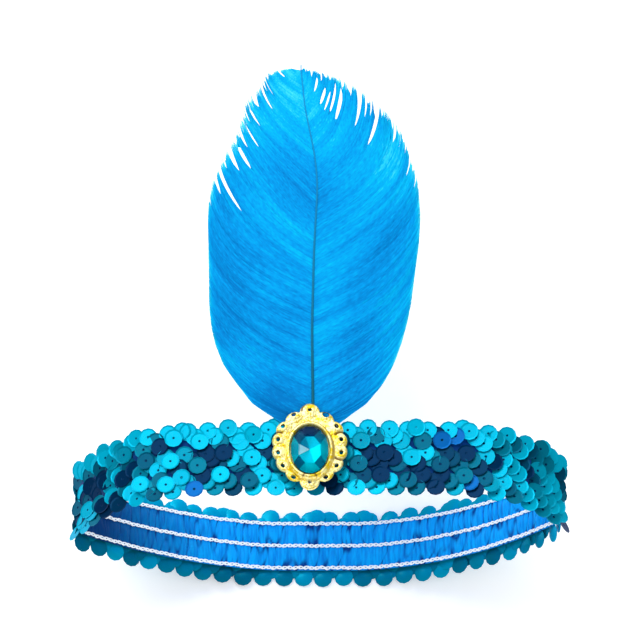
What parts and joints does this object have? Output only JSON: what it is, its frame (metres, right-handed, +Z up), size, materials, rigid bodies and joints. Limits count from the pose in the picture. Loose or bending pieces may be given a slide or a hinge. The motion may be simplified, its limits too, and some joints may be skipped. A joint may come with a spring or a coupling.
{
  "type": "flapper headband",
  "caption": "Stretch headband covered in rows of overlapping sequins, with an upright plume set behind a jewelled oval medallion on its front.",
  "frame": {"origin": "on the surface that the band lies on, under the middle of its back wall, half way across the band", "axes": "+X along the long way of the loop to the wearer's left, +Y along the loop's axis towards the feather's tip, +Z up from the back wall to the front wall with its medallion"},
  "size_m": [0.1972, 0.1889, 0.0967],
  "materials": {
    "stretch_elastic": "matte",
    "sequin_film": "polished",
    "ostrich_feather": "matte",
    "felt": "matte",
    "gold_plating": "gloss",
    "acrylic_stone": "polished"
  },
  "bodies": {
    "root": {"elastic_band": "stretch_elastic", "sequin_row_bottom": "sequin_film", "sequin_row_middle": "sequin_film", "sequin_row_top": "sequin_film", "feather": "ostrich_feather", "glue_pad": "felt", "medallion_frame": "gold_plating", "gem_stone": "acrylic_stone"}
  },
  "joints": []
}
